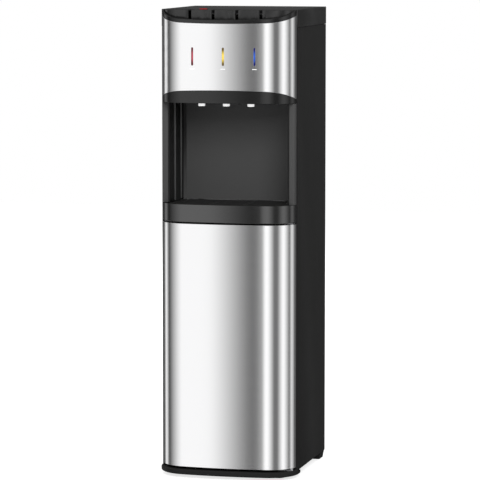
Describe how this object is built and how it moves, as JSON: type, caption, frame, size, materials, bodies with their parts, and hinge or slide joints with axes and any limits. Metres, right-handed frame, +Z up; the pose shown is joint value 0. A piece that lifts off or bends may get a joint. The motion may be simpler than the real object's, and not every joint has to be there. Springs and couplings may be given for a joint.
{
  "type": "bottom load water cooler",
  "caption": "Free-standing bottom-load water cooler: bowed brushed-steel front, dispensing bay with taps, keys on top, drip tray, door over the bottle cabinet.",
  "frame": {"origin": "on the floor, under the middle of the machine's bounding box", "axes": "+Z up, -Y towards the front with the door and the dispensing bay, +X towards the side of the door's hinges"},
  "size_m": [0.316, 0.36, 1.0425],
  "materials": {
    "brushed_steel": "horizontal brushing, satin",
    "black_gloss": "semi-gloss moulded",
    "black_plastic": "fine texture",
    "grey_plastic": "satin, dark grey",
    "bay_plastic": "satin",
    "black_paint": "fine-grain powder coat",
    "zinc_steel": "zinc plated",
    "white_plastic": "food-grade moulded",
    "liner_plastic": "vacuum-formed",
    "red_plastic": "gloss",
    "red_light": "clear diffuser",
    "yellow_light": "clear diffuser",
    "blue_light": "clear diffuser",
    "circuit_board": "solder mask",
    "stainless": "plain",
    "foam": "rigid foam",
    "felt_jacket": "insulation",
    "rubber": "matt",
    "copper": "copper tube",
    "hose": "silicone, milky"
  },
  "bodies": {
    "cabinet": {"base_plinth": "black_plastic", "bay_column_left": "grey_plastic", "bay_column_right": "grey_plastic", "bay_liner": "bay_plastic", "bottle_plate": "black_plastic", "bottle_probe": "stainless", "cabinet_liner": "liner_plastic", "cold_tank": "stainless", "cold_tank_foam": "foam", "compressor": "black_paint", "compressor_grommets": "rubber", "condenser_coil": "black_paint", "condenser_wires": "black_paint", "control_box": "black_plastic", "cord_gland": "rubber", "door_catch": "black_plastic", "feet": "black_plastic", "head_frame": "black_gloss", "hot_tank": "stainless", "hot_tank_jacket": "felt_jacket", "key_carrier": "black_plastic", "key_shaft": "stainless", "light_board": "circuit_board", "light_cold": "blue_light", "light_hot": "red_light", "light_room": "yellow_light", "lower_hinge": "zinc_steel", "mid_deck": "zinc_steel", "probe_hose": "hose", "rear_panel": "black_paint", "rear_screws": "zinc_steel", "refrigerant_lines": "copper", "side_panel_left": "black_paint", "side_panel_right": "black_paint", "switch_bezel": "black_plastic", "tank_shelf": "zinc_steel", "tap_cold": "white_plastic", "tap_hot": "white_plastic", "tap_room": "white_plastic", "top_cover": "black_plastic", "upper_front_skin": "brushed_steel", "upper_hinge": "zinc_steel", "water_lines": "hose", "water_pump": "black_plastic"},
    "door": {"door_skin": "brushed_steel", "door_liner": "black_plastic", "door_strike": "zinc_steel"},
    "key_hot": {"key_hot": "black_plastic"},
    "key_room": {"key_room": "black_plastic"},
    "key_cold": {"key_cold": "black_plastic"},
    "child_lock": {"child_lock_slider": "red_plastic"},
    "plunger_hot": {"plunger_hot": "white_plastic"},
    "plunger_room": {"plunger_room": "white_plastic"},
    "plunger_cold": {"plunger_cold": "white_plastic"},
    "drip_tray": {"drip_tray": "black_gloss"},
    "drip_grille": {"drip_grille": "black_plastic"},
    "switch_hot": {"switch_hot": "red_plastic"},
    "switch_cold": {"switch_cold": "black_plastic"},
    "switch_light": {"switch_light": "black_plastic"},
    "drain_cap": {"drain_cap": "white_plastic"}
  },
  "joints": [
    {"name": "door_hinge", "type": "hinge", "parent": "cabinet", "child": "door", "pos_m": [0.1443, -0.1263, 0.3], "axis": [0, 0, 1], "range_deg": [0, 110]},
    {"name": "key_hot_press", "type": "hinge", "parent": "cabinet", "child": "key_hot", "pos_m": [-0.0537, -0.1245, 1.03], "axis": [1, 0, 0], "range_deg": [0, 8], "stiffness_Nm_per_rad": 0.5, "springref_deg": -5.73},
    {"name": "plunger_hot_push", "type": "slide", "parent": "cabinet", "child": "plunger_hot", "axis": [0, 0, -1], "range_m": [0, 0.0025]},
    {"name": "key_room_press", "type": "hinge", "parent": "cabinet", "child": "key_room", "pos_m": [0, -0.1245, 1.03], "axis": [1, 0, 0], "range_deg": [0, 8], "stiffness_Nm_per_rad": 0.5, "springref_deg": -5.73},
    {"name": "plunger_room_push", "type": "slide", "parent": "cabinet", "child": "plunger_room", "axis": [0, 0, -1], "range_m": [0, 0.0025]},
    {"name": "key_cold_press", "type": "hinge", "parent": "cabinet", "child": "key_cold", "pos_m": [0.0537, -0.1245, 1.03], "axis": [1, 0, 0], "range_deg": [0, 8], "stiffness_Nm_per_rad": 0.5, "springref_deg": -5.73},
    {"name": "plunger_cold_push", "type": "slide", "parent": "cabinet", "child": "plunger_cold", "axis": [0, 0, -1], "range_m": [0, 0.0025]},
    {"name": "child_lock_slide", "type": "slide", "parent": "key_hot", "child": "child_lock", "axis": [0, 1, 0], "range_m": [0, 0.0064]},
    {"name": "drip_tray_slide", "type": "slide", "parent": "cabinet", "child": "drip_tray", "axis": [0, -1, 0], "range_m": [0, 0.13]},
    {"name": "drip_grille_lift", "type": "slide", "parent": "drip_tray", "child": "drip_grille", "axis": [0, 0, 1], "range_m": [0, 0.03]},
    {"name": "drain_cap_pull", "type": "slide", "parent": "cabinet", "child": "drain_cap", "axis": [0, 1, 0], "range_m": [0, 0.025]},
    {"name": "switch_hot_rock", "type": "hinge", "parent": "cabinet", "child": "switch_hot", "pos_m": [-0.1166, 0.1648, 0.925], "axis": [-1, 0, 0], "range_deg": [0, 16]},
    {"name": "switch_cold_rock", "type": "hinge", "parent": "cabinet", "child": "switch_cold", "pos_m": [-0.1, 0.1648, 0.925], "axis": [-1, 0, 0], "range_deg": [0, 16]},
    {"name": "switch_light_rock", "type": "hinge", "parent": "cabinet", "child": "switch_light", "pos_m": [-0.0834, 0.1648, 0.925], "axis": [-1, 0, 0], "range_deg": [0, 16]}
  ],
  "couplings": [
    {"joint": "plunger_hot_push", "follows": "key_hot_press", "m_per_rad": 0.0175},
    {"joint": "plunger_room_push", "follows": "key_room_press", "m_per_rad": 0.0175},
    {"joint": "plunger_cold_push", "follows": "key_cold_press", "m_per_rad": 0.0175}
  ]
}
